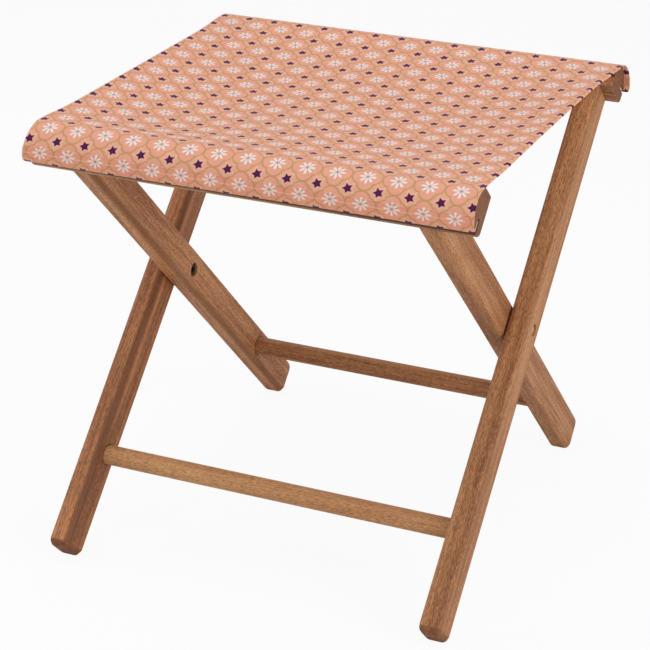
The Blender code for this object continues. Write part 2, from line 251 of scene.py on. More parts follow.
def noise(material, vector, scale, detail=2.0, roughness=0.5):
    node = add_node(material, "ShaderNodeTexNoise")
    feed(material, node.inputs["Vector"], vector)
    node.inputs["Scale"].default_value = scale
    node.inputs["Detail"].default_value = detail
    node.inputs["Roughness"].default_value = roughness
    return node.outputs["Fac"]


def bump(material, shader, height, depth, strength):
    node = add_node(material, "ShaderNodeBump")
    feed(material, node.inputs["Height"], height)
    node.inputs["Distance"].default_value = depth
    node.inputs["Strength"].default_value = strength
    feed(material, shader.inputs["Normal"], node.outputs[0])


def axis_of(material, vector, axis):
    node = add_node(material, "ShaderNodeSeparateXYZ")
    feed(material, node.inputs[0], vector)
    return node.outputs[axis]


def distance_from(material, x, y):
    square = calc(material, "MULTIPLY_ADD", x, x, calc(material, "MULTIPLY", y, y))
    return calc(material, "SQRT", square)


def from_line(material, vector, first, first_place, second, second_place):
    """How far a point is from a line that runs along the third axis."""
    one = calc(material, "SUBTRACT", axis_of(material, vector, first), first_place)
    other = calc(material, "SUBTRACT", axis_of(material, vector, second), second_place)
    return distance_from(material, one, other)


def toned(colour, share):
    """A darker or lighter version of a colour."""
    return tuple(part * share for part in colour[:3]) + (1.0,)


print("pattern helpers ready")

# %% Grain
LEG_TILT = math.radians(45.35)
GRAIN_TURN = {
    "outer": (LEG_TILT, 0, 0),
    "inner": (-LEG_TILT, 0, 0),
    "across": (0, -math.pi / 2, 0),
}
BAND_SCALE = 52.0
FIBRE_SCALE = 300.0
FLECK_SCALE = 1600.0
LONG_SQUEEZE = (1, 1, 0.05)
SHORT_SQUEEZE = (1, 1, 0.15)
BAND_WEIGHT = 0.44
FIBRE_WEIGHT = 0.36
FLECK_WEIGHT = 0.20


def grain_layers(material, sawn):
    """Broad bands, fibres and short flecks, all drawn out along the grain."""
    long = placed(material, sawn, scale=LONG_SQUEEZE)
    short = placed(material, sawn, scale=SHORT_SQUEEZE)
    bands = noise(material, long, BAND_SCALE, 2.0, 0.5)
    fibres = noise(material, long, FIBRE_SCALE, 3.0, 0.6)
    return bands, fibres, noise(material, short, FLECK_SCALE, 2.0, 0.6)


def grain_colour(material, bands, fibres, flecks, pores, light, dark):
    """The wood's two tones, with dark oil in the pores and pale rays."""
    tone = calc(material, "MULTIPLY", bands, BAND_WEIGHT)
    tone = calc(material, "MULTIPLY_ADD", fibres, FIBRE_WEIGHT, tone)
    tone = calc(material, "MULTIPLY_ADD", flecks, FLECK_WEIGHT, tone)
    colour = mix(material, remap(material, tone, 0.40, 0.59), dark, light)
    colour = mix(material, pores, colour, toned(dark, 0.45))
    rays = remap(material, flecks, 0.46, 0.36, 0.0, 0.50)
    return mix(material, rays, colour, toned(light, 1.34))


print(f"grain turned by {math.degrees(LEG_TILT)} degrees for the legs")

# %% [markdown]
# A board also carries growth rings on a cut end, and three marks of painted shade: a dark band along an edge
# that turns from the lamps, a dark band on a rail beside its groove, under the hem, and a dark ring round
# the socket of a bar. Each could be painted on.
# Here each is a distance from a line or a plane, measured in the same coordinates as the grain, with a soft
# step at its edge.

# %% Marks in the wood
RING_SCALE = 420.0
RING_SQUEEZE = (1, 0.22, 1)
# Painted shade along a rounded edge that turns from the lamps: its core, its soft edge, and how much the
# bands make it waver.
ARRIS_SHADE_CORE = 0.0080
ARRIS_SHADE_EDGE = 0.0145
ARRIS_SHADE_WAVER = 0.010
# Painted shade round a bar's socket: the ring's core and edge, and how far from the leg's inner face it
# reaches.
SHADE_RING_CORE = 0.0004
SHADE_RING_EDGE = 0.0016
SHADE_SKIN_CORE = 0.001
SHADE_SKIN_EDGE = 0.003


def end_grain(material, own, leg_line, dark):
    """A cut end: growth rings that run across the board, in dark oil."""
    across = placed(material, own, rotation=GRAIN_TURN[leg_line])
    rings = noise(material, placed(material, across, scale=RING_SQUEEZE), RING_SCALE, 3.0, 0.6)
    return mix(material, remap(material, rings, 0.30, 0.72), toned(dark, 0.68), toned(dark, 1.32))


def arris_shade_share(material, turned, bands, streak):
    """How much painted shade there is round a line along the grain, on a rounded edge that turns from the
    lamps. The bands make its edge waver.
    """
    from_streak = from_line(material, turned, "X", streak[0], "Y", streak[1])
    wavering = calc(material, "MULTIPLY_ADD", bands, ARRIS_SHADE_WAVER, from_streak)
    return remap(material, wavering, ARRIS_SHADE_CORE, ARRIS_SHADE_EDGE, 0.80, 0.0)


def groove_shade_share(material, own, groove):
    """How much painted shade there is on a rail, from a height along the leg line upwards, where the hem
    shades the groove.
    """
    leg_line, start, stop = groove
    up = axis_of(material, placed(material, own, rotation=GRAIN_TURN[leg_line]), "Z")
    return remap(material, up, start, stop, 0.0, 0.85)


def socket_shade_share(material, own, socket):
    """How much painted shade there is round a bar, on the inner face of its leg."""
    bar_y, bar_z, bar_radius, inner_face = socket
    from_bar = from_line(material, own, "Y", bar_y, "Z", bar_z)
    ring = remap(material, from_bar, bar_radius + SHADE_RING_CORE, bar_radius + SHADE_RING_EDGE, 0.80, 0.0)
    from_middle = calc(material, "ABSOLUTE", axis_of(material, own, "X"))
    skin = remap(material, from_middle, inner_face + SHADE_SKIN_CORE, inner_face + SHADE_SKIN_EDGE, 1.0, 0.0)
    return calc(material, "MULTIPLY", ring, skin)


# Apart from the rings, these marks are painted shade.
print("rings, streaks and oil are ready")

# %% Oiled wood
def oiled_wood(name, grain, board, light, dark, ends=(), groove=None, socket=None, streak=None):
    """Wood whose grain runs along a frame's legs or across the stool. board picks where in the tree it
    was sawn, light and dark are its two tones, and ends gives the cut ends: where along the grain each
    one starts, where it is full, and the leg line that its rings follow."""
    material, shader = new_finish(name)
    own = add_node(material, "ShaderNodeTexCoord").outputs["Object"]
    turned = placed(material, own, rotation=GRAIN_TURN[grain])
    bands, fibres, flecks = grain_layers(material, placed(material, turned, location=board))
    pores = remap(material, flecks, 0.51, 0.61, 0.0, 0.66)
    colour = grain_colour(material, bands, fibres, flecks, pores, light, dark)
    # Painted shade: a dark band along a left leg's front inner edge, which turns from the lamps.
    if streak:
        colour = mix(material, arris_shade_share(material, turned, bands, streak), colour, toned(dark, 0.66))
    # Painted shade: the rail darkens towards its groove, in the shadow of the hem.
    if groove:
        colour = mix(material, groove_shade_share(material, own, groove), colour, toned(dark, 0.18))
    for start, full, leg_line in ends:
        cut_share = remap(material, axis_of(material, turned, "Z"), start, full)
        colour = mix(material, cut_share, colour, end_grain(material, own, leg_line, dark))
    # Painted shade: a dark ring round each bar where it enters its leg.
    if socket:
        colour = mix(material, socket_shade_share(material, own, socket), colour, toned(dark, 0.22))
    feed(material, shader.inputs["Base Color"], colour)
    feed(material, shader.inputs["Roughness"], remap(material, fibres, 0.3, 0.7, 0.62, 0.48))
    shader.inputs["Specular IOR Level"].default_value = 0.25
    bump(material, shader, calc(material, "SUBTRACT", fibres, pores), 0.0002, 0.5)
    return material


def dress(node_name, material):
    node = nodes[node_name]
    node.data.materials.clear()
    node.data.materials.append(material)


print("wood is ready to cut")

# %% [markdown]
# Each board gets its own place in the tree and its own two tones, so no two legs share a grain. The
# feet and the rail ends show end grain, which drinks more oil and dries darker. The two left legs have
# painted shade along their front inner edge, which turns from the lamps. The places of these marks are
# worked out from the frame's boxes and the legs' sizes, so they stay on the edges and round the bars.

# %% Boards
PIVOT_HEIGHT = frame["joints"][0]["pos_m"][2]
LEG_BELOW_PIVOT = 0.3138
LEG_ABOVE_PIVOT = 0.2604
LEG_WIDTH = 0.0368
FOOT_CUT_START = 0.0070
FOOT_CUT_FULL = 0.0050
RAIL_CUT_START = 0.0006
RAIL_CUT_FULL = 0.0001
# Painted shade beside the groove, under the hem: where it starts and where it is full.
GROOVE_SHADE_START = 0.0070
GROOVE_SHADE_FULL = 0.0100
RAIL_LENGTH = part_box("front_rail")[1][0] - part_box("front_rail")[0][0]
PALE_BROWN = screen_colour(204, 152, 104)
MID_BROWN = screen_colour(194, 137, 92)
RED_BROWN = screen_colour(184, 123, 80)
DARK_BROWN = screen_colour(146, 93, 57)
DEEP_BROWN = screen_colour(122, 75, 46)

foot_end = PIVOT_HEIGHT * math.cos(LEG_TILT) - LEG_BELOW_PIVOT
half_rail = RAIL_LENGTH / 2


def foot_cut(leg_line):
    """Where along the grain a foot's end grain starts and is full, and the line that its rings follow."""
    return [(foot_end + FOOT_CUT_START, foot_end + FOOT_CUT_FULL, leg_line)]


def rail_cuts(leg_line):
    start = half_rail - RAIL_CUT_START
    full = half_rail - RAIL_CUT_FULL
    return [(start, full, leg_line), (-start, -full, leg_line)]


def inner_face_of(leg_name):
    low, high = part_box(leg_name)
    return min(abs(low[0]), abs(high[0]))


def bar_socket(bar_name, leg_name):
    """Where a bar's middle line crosses a leg, the bar's radius, and the leg's inner face."""
    low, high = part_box(bar_name)
    return (low[1] + high[1]) / 2, (low[2] + high[2]) / 2, (high[2] - low[2]) / 2, inner_face_of(leg_name)


def edge_streak(leg_name, leg_line, lean):
    """Where a left leg's front inner edge, which gets painted shade, lies across its grain. lean is 1 above
    the leg, -1 below it.
    """
    half = LEG_WIDTH / 2
    y = -half * math.cos(LEG_TILT)
    z = PIVOT_HEIGHT + lean * half * math.sin(LEG_TILT)
    place = Euler(GRAIN_TURN[leg_line]).to_matrix() @ Vector((-inner_face_of(leg_name), y, z))
    return place.x, place.y


def groove_shade(leg_line):
    """Where along the leg line a rail's painted shade starts and is full, towards its groove."""
    rail_base = PIVOT_HEIGHT * math.cos(LEG_TILT) + LEG_ABOVE_PIVOT
    return leg_line, rail_base + GROOVE_SHADE_START, rail_base + GROOVE_SHADE_FULL


BOARDS = {
    "outer_leg_left": ("outer", (0.31, 0.07, 0.2), toned(RED_BROWN, 1.14), toned(DEEP_BROWN, 1.10)),
    "outer_leg_right": ("outer", (1.13, 0.42, 0.9), MID_BROWN, toned(DARK_BROWN, 0.90)),
    "inner_leg_left": ("inner", (2.41, 0.77, 1.7), toned(MID_BROWN, 1.16), toned(DARK_BROWN, 1.10)),
    "inner_leg_right": ("inner", (3.07, 0.15, 2.3), MID_BROWN, DARK_BROWN),
    "front_stretcher": ("across", (4.19, 0.66, 3.1), toned(PALE_BROWN, 1.06), toned(MID_BROWN, 0.92)),
    "rear_stretcher": ("across", (5.53, 0.28, 4.6), MID_BROWN, DARK_BROWN),
    "front_rail": ("across", (6.71, 0.91, 5.2), PALE_BROWN, DEEP_BROWN),
    "rear_rail": ("across", (7.37, 0.53, 6.8), MID_BROWN, DEEP_BROWN),
}
EXTRAS = {
    "front_rail": {"ends": rail_cuts("inner"), "groove": groove_shade("inner")},
    "rear_rail": {"ends": rail_cuts("outer"), "groove": groove_shade("outer")},
}
for leg_line, bar_name in (("outer", "front_stretcher"), ("inner", "rear_stretcher")):
    for side in ("left", "right"):
        leg_name = f"{leg_line}_leg_{side}"
        EXTRAS[leg_name] = {"ends": foot_cut(leg_line), "socket": bar_socket(bar_name, leg_name)}
# The two left legs get painted shade along their front inner edges.
EXTRAS["outer_leg_left"]["streak"] = edge_streak("outer_leg_left", "outer", 1)
EXTRAS["inner_leg_left"]["streak"] = edge_streak("inner_leg_left", "inner", -1)

for board_name, (grain, board, light, dark) in BOARDS.items():
    extras = EXTRAS.get(board_name, {})
    dress(board_name, oiled_wood(f"{board_name}_wood", grain, board, light, dark, **extras))
print(f"{len(BOARDS)} boards cut")

# %% [markdown]
# ## Small parts
#
# The dowels that join legs and rails are raw beech, hidden in their holes. The bolt heads are satin
# brass, the nuts and washers are dark, and a white plastic strip keeps the hem in its groove. Small
# parts still need a finish that isn't flat: a little noise in colour and roughness is enough.

# %% Hardware finishes
def speckled(name, low, high, scale, roughness, metal=0.0, depth=0.00003):
    """A finish that drifts between two tones, with a fine bump."""
    material, shader = new_finish(name)
    own = add_node(material, "ShaderNodeTexCoord").outputs["Object"]
    drift = noise(material, own, scale, 3.0, 0.6)
    feed(material, shader.inputs["Base Color"], mix(material, remap(material, drift, 0.3, 0.7), low, high))
    shine = remap(material, drift, 0.3, 0.7, roughness + 0.08, roughness - 0.08)
    feed(material, shader.inputs["Roughness"], shine)
    shader.inputs["Metallic"].default_value = metal
    bump(material, shader, drift, depth, 0.6)
    return material


PALE_BEECH = screen_colour(222, 190, 150)
DARK_BEECH = screen_colour(190, 150, 108)
STRIP_WHITE = screen_colour(250, 244, 236)
STRIP_CREAM = screen_colour(236, 226, 214)
beech = oiled_wood("raw_beech", "outer", (8.3, 0.2, 7.1), PALE_BEECH, DARK_BEECH)
brass = speckled("satin_brass", screen_colour(196, 160, 104), screen_colour(232, 204, 150), 900.0, 0.34, 1.0)
steel = speckled("dark_steel", screen_colour(46, 40, 36), screen_colour(72, 64, 58), 1400.0, 0.45, 1.0)
nylon = speckled("dark_nylon", screen_colour(30, 27, 25), screen_colour(46, 42, 40), 1800.0, 0.5)
white_strip = speckled("white_plastic", STRIP_CREAM, STRIP_WHITE, 700.0, 0.5)

FITTINGS = {"dowel": (beech, "dowel_wood"), "bolt": (brass, "brass"), "nut": (steel, "dark_steel"),
            "washer": (nylon, "dark_nylon"), "spline": (white_strip, "white_plastic")}
for node_name in sorted(nodes):
    for word, (material, slot_name) in FITTINGS.items():
        if word in node_name:
            dress(node_name, material)
            print(f"{node_name}: {material.name}")

# %% [markdown]
# ## The shape of the sling
#
# The seat is one cloth. Its hem is tucked into the groove of a rail, and from there it goes up the
# outward side, over the dome, across to the other rail and down again. A cloth simulation could find
# that shape, but a taut sling is simple enough to draw. Its two free edges are nearly straight: the right
# one even stands a little proud, because its turned edge is stiff. Between them it hangs as a shallow
# trough: deeper left of the middle, where someone has sat, and with a power curve from the middle to each
# rail. A power of two is a parabola. A higher one is flatter and ends more steeply, as the cloth does
# behind the left part of the front rail. It leaves each dome where the slopes agree.
#
# The rail is measured in the frame's own axes, outward from the legs and up along them. Two small
# functions turn a place on the rail into a distance from the stool's middle and a height.

# %% Rail and sling profile
RAIL_BASE = LEG_ABOVE_PIVOT
RAIL_HALF_WIDTH = 0.0205
RAIL_HEIGHT = 0.0295
RAIL_SIDE_HEIGHT = 0.0165
GROOVE_TOP = 0.0160
HEM_IN_GROOVE = 0.0110
CLOTH_LIFT = 0.0004
CLOTH_WIDTH = 0.4385
LEFT_SAG = 0.0199
RIGHT_SAG = 0.0151
LEFT_EDGE_POWER = 3.0
RIGHT_EDGE_POWER = 3.2
RIGHT_EDGE_RISE = 0.0034
DEEPENS_FROM = -0.10
DEEPENS_TO = 0.64
REAR_POWER = 2.31
FRONT_POWER = 2.17
FRONT_LEFT_POWER = 4.23
STEEPENS_FROM = -0.04
STEEPENS_TO = 0.90
PATH_STEPS = 160
LIP_STEPS = 8
LEAVING_TRIES = 20

dome_rise = RAIL_HEIGHT - RAIL_SIDE_HEIGHT
dome_radius = (RAIL_HALF_WIDTH ** 2 + dome_rise ** 2) / (2 * dome_rise)
dome_half_angle = math.asin(RAIL_HALF_WIDTH / dome_radius)
dome_centre = RAIL_BASE + RAIL_HEIGHT - dome_radius


def upright(outward, up):
    """From a frame's axes to the distance from the stool's middle and the height."""
    middle = outward * math.cos(LEG_TILT) + up * math.sin(LEG_TILT)
    height = up * math.cos(LEG_TILT) - outward * math.sin(LEG_TILT) + PIVOT_HEIGHT
    return middle, height


def on_rail(facing):
    """The inside of the cloth where the rail's surface faces an angle away from the leg's line."""
    held = max(-dome_half_angle, min(dome_half_angle, facing))
    outward = dome_radius * math.sin(held) + CLOTH_LIFT * math.sin(facing)
    up = dome_centre + dome_radius * math.cos(held) + CLOTH_LIFT * math.cos(facing)
    return upright(outward, up)


def eased(value, start, stop):
    """A soft step from 0 at start to 1 at stop."""
    share = max(0.0, min(1.0, (value - start) / (stop - start)))
    return share * share * (3 - 2 * share)


def sag_at(across):
    """How deep the cloth hangs halfway between the rails, for a place from -1 to 1 across it."""
    depth = RIGHT_SAG + (LEFT_SAG - RIGHT_SAG) * eased(-across, DEEPENS_FROM, DEEPENS_TO)
    if across < 0:
        return depth - depth * abs(across) ** LEFT_EDGE_POWER
    return depth - (depth + RIGHT_EDGE_RISE) * across ** RIGHT_EDGE_POWER


def power_at(across, end):
    """The power of the curve from the middle of the seat to a rail."""
    if end == "rear":
        return REAR_POWER
    share = eased(-across, STEEPENS_FROM, STEEPENS_TO)
    return FRONT_POWER + (FRONT_LEFT_POWER - FRONT_POWER) * share


def leaving_point(sag, power):
    """The slope, distance and height at which a sling of this sag leaves the dome, found by trying."""
    slope = 0.0
    for _ in range(LEAVING_TRIES):
        middle, height = on_rail(-(LEG_TILT + slope))
        slope = math.atan(power * sag / middle)
    return slope, middle, height


def spread(start, stop, count):
    """Places at equal steps from start to stop, both included."""
    return [start + (stop - start) * i / count for i in range(count + 1)]


def half_sling(sag, power):
    """Points from the middle of the seat to the end of the hem in its groove, and their running length."""
    slope, reach, height = leaving_point(sag, power)
    points = [(y, height - sag * (1 - (y / reach) ** power)) for y in spread(0, reach, PATH_STEPS)]
    points += [on_rail(a) for a in spread(-(LEG_TILT + slope), math.pi / 2, PATH_STEPS)[1:]]
    lip_up = RAIL_BASE + GROOVE_TOP
    for a in spread(0, -math.pi / 2, LIP_STEPS):
        outward = RAIL_HALF_WIDTH + CLOTH_LIFT * math.cos(a)
        points.append(upright(outward, lip_up + CLOTH_LIFT * math.sin(a)))
    points.append(upright(RAIL_HALF_WIDTH - HEM_IN_GROOVE, lip_up - CLOTH_LIFT))
    lengths = [0.0]
    for (y0, z0), (y1, z1) in zip(points, points[1:]):
        lengths.append(lengths[-1] + math.hypot(y1 - y0, z1 - z0))
    return points, lengths


middle_points, middle_lengths = half_sling(sag_at(0), REAR_POWER)
half_length = middle_lengths[-1]
hem_start = half_length - HEM_IN_GROOVE
print(f"the cloth is cut {CLOTH_WIDTH * 1000:.0f} by {half_length * 2000:.0f} mm")
print(f"it turns into the groove {hem_start * 1000:.1f} mm from the middle")

# %% [markdown]
# ## The cloth
#
# A tailor starts from a flat piece, and so does this step: a grid is added, its rows and columns are spaced
# close where the cloth bends and wide where it is flat, and every point's flat place is kept as the UV map
# in metres, so the print keeps its size. Then each point is carried to its place on the sling. The free
# side edges are turned under, so they end in a small roll. The four corners don't lie alike on the real
# stool: the hem is folded double, so it is stiff and flares past the rail's ends, more at some corners
# than at others, and it stands off the front rail at the left. Where the cloth goes round a rail its
# outside is longer than its inside, so the print, which is on the outside, gains a little there, and it
# gains more where the hem is doubled.

# %% Rows and columns
CLOTH_THICKNESS = 0.0011
HEM_THICKNESS = 0.0016
HEM_HEIGHT = 0.0150
HEM_STEP = 0.0004
LIP_BEND = 0.002
EDGE_ROLL = 0.0011
ROW_COUNTS = {"seat": 46, "dome": 22, "hem": 14, "lip": 8, "groove": 3}
COLUMN_COUNTS = {"flat": 52, "turned": 5}

seat_length = leaving_point(sag_at(0), REAR_POWER)[1]
hem_ridge = hem_start - HEM_HEIGHT
half_rows = spread(0, seat_length, ROW_COUNTS["seat"])
half_rows += spread(seat_length, hem_ridge - HEM_STEP, ROW_COUNTS["dome"])[1:]
half_rows += spread(hem_ridge, hem_start - LIP_BEND, ROW_COUNTS["hem"])
half_rows += spread(hem_start - LIP_BEND, hem_start + LIP_BEND, ROW_COUNTS["lip"])[1:]
half_rows += spread(hem_start + LIP_BEND, half_length, ROW_COUNTS["groove"])[1:]
rows = [-place for place in half_rows[:0:-1]] + half_rows
edge_share = math.pi / 2 * EDGE_ROLL / (CLOTH_WIDTH / 2)
half_columns = spread(0, 1 - edge_share, COLUMN_COUNTS["flat"])
half_columns += spread(1 - edge_share, 1, COLUMN_COUNTS["turned"])[1:]
columns = [-place for place in half_columns[:0:-1]] + half_columns
print(f"{len(rows)} rows and {len(columns)} columns of points")

# %% Side edges and hems
SEAT_EDGE = {"left": 0.2158, "right": 0.2198}
ROLL_EDGE = {("front", "left"): 0.2184, ("front", "right"): 0.2190,
             ("rear", "left"): 0.2187, ("rear", "right"): 0.2230}
HEM_EDGE = {("front", "left"): 0.2226, ("front", "right"): 0.2194,
            ("rear", "left"): 0.2191, ("rear", "right"): 0.2245}
TUCK_EDGE = 0.2182
ROLL_EDGE_FROM = 0.12
HEM_EDGE_PAST_SEAT = 0.012
HEM_EDGE_ABOVE_LIP = 0.004
TUCK_ABOVE_LIP = 0.002
TUCK_PAST_LIP = 0.003
EDGE_PULL = 0.008
EDGE_PULL_FROM = 0.09
TURNED_UNTIL = 0.150
UNTURNED_FROM = 0.180
HEM_FLARE = 0.0009
FLARE_ABOVE_RIDGE = 0.010
FLARE_ROUND_LIP = 0.001
FLARE_FROM = -0.4


def side_edge(side, flat_y):
    """How far a side edge of the cloth is from the middle of the stool, at a distance along the cloth."""
    end = "front" if flat_y < 0 else "rear"
    along = abs(flat_y)
    roll_share = eased(along, ROLL_EDGE_FROM, seat_length)
    hem_share = eased(along, seat_length + HEM_EDGE_PAST_SEAT, hem_start - HEM_EDGE_ABOVE_LIP)
    tuck_share = eased(along, hem_start - TUCK_ABOVE_LIP, hem_start + TUCK_PAST_LIP)
    roll = SEAT_EDGE[side] + (ROLL_EDGE[end, side] - SEAT_EDGE[side]) * roll_share
    hem = roll + (HEM_EDGE[end, side] - ROLL_EDGE[end, side]) * hem_share
    return hem + (TUCK_EDGE - hem) * tuck_share


def place_across(across, flat_y):
    """Where a point of the cloth is across the stool. The sagging middle draws the edges in a little."""
    left = side_edge("left", flat_y)
    right = side_edge("right", flat_y)
    pull = EDGE_PULL * (1 - eased(abs(flat_y), EDGE_PULL_FROM, seat_length))
    eased_across = across + pull * (across - across ** 5)
    return (right - left) / 2 + eased_across * (right + left) / 2


def turned_edge(across, flat_y):
    """How far the roll of a side edge takes a point of the cloth inward and down."""
    to_edge = (1 - abs(across)) * CLOTH_WIDTH / 2
    angle = max(0.0, math.pi / 2 - to_edge / EDGE_ROLL)
    free = 1 - eased(abs(flat_y), TURNED_UNTIL, UNTURNED_FROM)
    return free * EDGE_ROLL * (angle - math.sin(angle)), free * EDGE_ROLL * (1 - math.cos(angle))


def hem_flare(across, flat_y):
    """How far the stiff hem stands off the front rail's side. It stands off most at the left end."""
    if flat_y > 0:
        return 0.0
    rise = eased(-flat_y, hem_ridge - FLARE_ABOVE_RIDGE, hem_start - FLARE_ROUND_LIP)
    tuck = eased(-flat_y, hem_start + FLARE_ROUND_LIP, half_length)
    return HEM_FLARE * eased(-across, FLARE_FROM, 1.0) * rise * (1 - tuck)


def along_path(points, lengths, distance):
    """The point at a distance along a polyline."""
    for i in range(1, len(lengths)):
        if lengths[i] >= distance or i == len(lengths) - 1:
            share = (distance - lengths[i - 1]) / (lengths[i] - lengths[i - 1])
            (y0, z0), (y1, z1) = points[i - 1], points[i]
            return y0 + (y1 - y0) * share, z0 + (z1 - z0) * share


print(f"the rear right corner reaches {HEM_EDGE['rear', 'right'] * 1000:.1f} mm from the middle")

# %% Cut and hang the cloth
HEM_GAIN = 0.26
HEM_GAIN_FROM = 0.2160
outside_gain = CLOTH_THICKNESS / dome_radius


def printed_place(along):
    """Where the print is on the flat cloth, at a distance from the middle along the hung cloth."""
    gain = outside_gain * max(0.0, along - seat_length)
    return along + gain + HEM_GAIN * max(0.0, along - HEM_GAIN_FROM)


bpy.ops.mesh.primitive_grid_add(x_subdivisions=len(columns) - 1, y_subdivisions=len(rows) - 1, size=1)
cloth = bpy.context.object
cloth.name = "seat_cloth"
flat = {}
for vertex in cloth.data.vertices:
    column = round((vertex.co.x + 0.5) * (len(columns) - 1))
    row = round((vertex.co.y + 0.5) * (len(rows) - 1))
    flat[vertex.index] = (columns[column], rows[row])

cloth.data.uv_layers.active.name = "flat_cloth"
for loop in cloth.data.loops:
    across, flat_y = flat[loop.vertex_index]
    printed_y = math.copysign(printed_place(abs(flat_y)), flat_y)
    cloth.data.uv_layers.active.data[loop.index].uv = (across * CLOTH_WIDTH / 2, printed_y)

paths = {}
for vertex in cloth.data.vertices:
    across, flat_y = flat[vertex.index]
    end = "front" if flat_y < 0 else "rear"
    if (across, end) not in paths:
        paths[across, end] = half_sling(sag_at(across), power_at(across, end))
    points, lengths = paths[across, end]
    y, z = along_path(points, lengths, abs(flat_y) / half_length * lengths[-1])
    inward, down = turned_edge(across, flat_y)
    x = place_across(across, flat_y) - math.copysign(inward, across)
    stand_off = hem_flare(across, flat_y)
    y += stand_off * math.cos(LEG_TILT)
    z -= stand_off * math.sin(LEG_TILT)
    vertex.co = (x, math.copysign(y, flat_y), z - down)
print(f"cloth of {len(cloth.data.polygons)} faces hung")

# %% [markdown]
# The hem is the cloth folded back on itself, so it is thicker, with a ridge where the fold ends. A second
# sheet could be laid on the first. A Solidify modifier is simpler: it gives the thickness, and a vertex
# group tells it where the cloth is single and where the groove squeezes the hem thin. Its material offset
# gives the underside the next slot: the pale reverse under the single cloth, and the print again under the
# hem and the turned side edges, where the folded part shows its face.

# %% Thickness and hem
HEM_SQUEEZE = 0.60
SQUEEZE_ABOVE_LIP = 0.004
SIDE_HEM = 0.012

single_share = CLOTH_THICKNESS / HEM_THICKNESS
doubled = cloth.vertex_groups.new(name="doubled_hem")
for index, (across, flat_y) in flat.items():
    share = single_share
    if abs(flat_y) >= hem_ridge:
        share = 1.0 - HEM_SQUEEZE * eased(abs(flat_y), hem_start - SQUEEZE_ABOVE_LIP, hem_start)
    doubled.add([index], share, "REPLACE")

for face in cloth.data.polygons:
    along = sum(abs(flat[index][1]) for index in face.vertices) / 4
    across = sum(abs(flat[index][0]) for index in face.vertices) / 4
    at_side = (1 - across) * CLOTH_WIDTH / 2 < SIDE_HEM
    face.material_index = 2 if at_side or along > hem_ridge - HEM_STEP else 0

bpy.ops.object.select_all(action="DESELECT")
cloth.select_set(True)
bpy.context.view_layer.objects.active = cloth
bpy.ops.object.shade_smooth()
thick = cloth.modifiers.new("thickness", "SOLIDIFY")
thick.thickness = HEM_THICKNESS
thick.offset = 1.0
thick.use_even_offset = True
thick.vertex_group = "doubled_hem"
thick.material_offset = 1
print(f"cloth {CLOTH_THICKNESS * 1000:.1f} mm thick, hem {HEM_THICKNESS * 1000:.1f} mm")

# %% [markdown]
# ## The print
#
# The cotton is printed all over with a plain geometric ornament: four-lobed cells with a daisy, lined in
# tan, and between them round cells with a small five-pointed star. It could be painted as a
# picture, but arithmetic on the flat UV map draws it sharp at any distance. Each motif is a distance:
# how far a point is from the nearest star's middle, or along and across a daisy's petal. A smooth step
# at the motif's edge turns that distance into a mask, and the masks stack the colours. Ink spreads a
# little in cotton, so the steps are soft, and a star's purple has a maroon edge and a pale pink rim.

# %% Print
PRINT_PITCH = 0.0288
PRINT_ASIDE = 0.0008
FLOWER_ROW = 0.0003
LOBE_MIDDLE = 0.222
LOBE_RADIUS = 0.250
LINE_WIDTH = 0.046
PETALS = 8
PETAL_MIDDLE = 0.158
PETAL_LENGTH = 0.108
PETAL_WIDTH = 0.043
PETAL_WIDENING = 0.28
PETAL_SOFTNESS = 0.32
DAISY_EYE = 0.040
EYE_SOFTNESS = 0.02
DAISY_SHADE = 0.19
SHADE_SOFTNESS = 0.07
STAR_TIP = 0.182
STAR_NOTCH = 0.53
STAR_TURN = math.radians(-22)
STAR_RIM = 0.050
STAR_CORE = -0.04
CORE_SOFTNESS = 0.02
LINE_SOFTNESS = 0.026
EDGE_SOFTNESS = 0.016

LINE_TAN = screen_colour(202, 156, 108)
CELL_PEACH = screen_colour(240, 177, 140)
CELL_PINK = screen_colour(243, 172, 144)
STAR_GLOW = screen_colour(250, 188, 174)
DAISY_WHITE = screen_colour(255, 236, 228)
DAISY_GAP = screen_colour(206, 160, 152)
STAR_PURPLE = screen_colour(76, 28, 82)
STAR_MAROON = screen_colour(84, 14, 48)
EYE_ROSE = screen_colour(204, 152, 144)


def below(material, distance, edge, softness=EDGE_SOFTNESS):
    """A mask that is 1 where a distance is under an edge."""
    return remap(material, distance, edge - softness, edge + softness, 1.0, 0.0)


def wrapped(material, value, shift=0.0):
    """How far a place is from the nearest repeat of the pattern, in pitches."""
    moved = calc(material, "ADD", value, shift)
    return calc(material, "WRAP", moved, 0.5, -0.5)


def folded(material, x, y, count, turn=0.0):
    """Folds a point round its centre into one of count equal sectors: along and across the sector's line."""
    radius = distance_from(material, x, y)
    half = math.pi / count
    angle = calc(material, "SUBTRACT", calc(material, "ARCTAN2", y, x), turn)
    angle = calc(material, "WRAP", angle, half, -half)
    along = calc(material, "MULTIPLY", radius, calc(material, "COSINE", angle))
    across = calc(material, "MULTIPLY", radius, calc(material, "SINE", angle))
    return along, calc(material, "ABSOLUTE", across)


def daisy_mask(material, x, y):
    along, across = folded(material, x, y, PETALS)
    length = calc(material, "DIVIDE", calc(material, "SUBTRACT", along, PETAL_MIDDLE), PETAL_LENGTH)
    widening = calc(material, "MULTIPLY_ADD", length, PETAL_WIDENING, 1.0)
    width = calc(material, "DIVIDE", across, calc(material, "MULTIPLY", widening, PETAL_WIDTH))
    return below(material, distance_from(material, length, width), 1.0, PETAL_SOFTNESS)


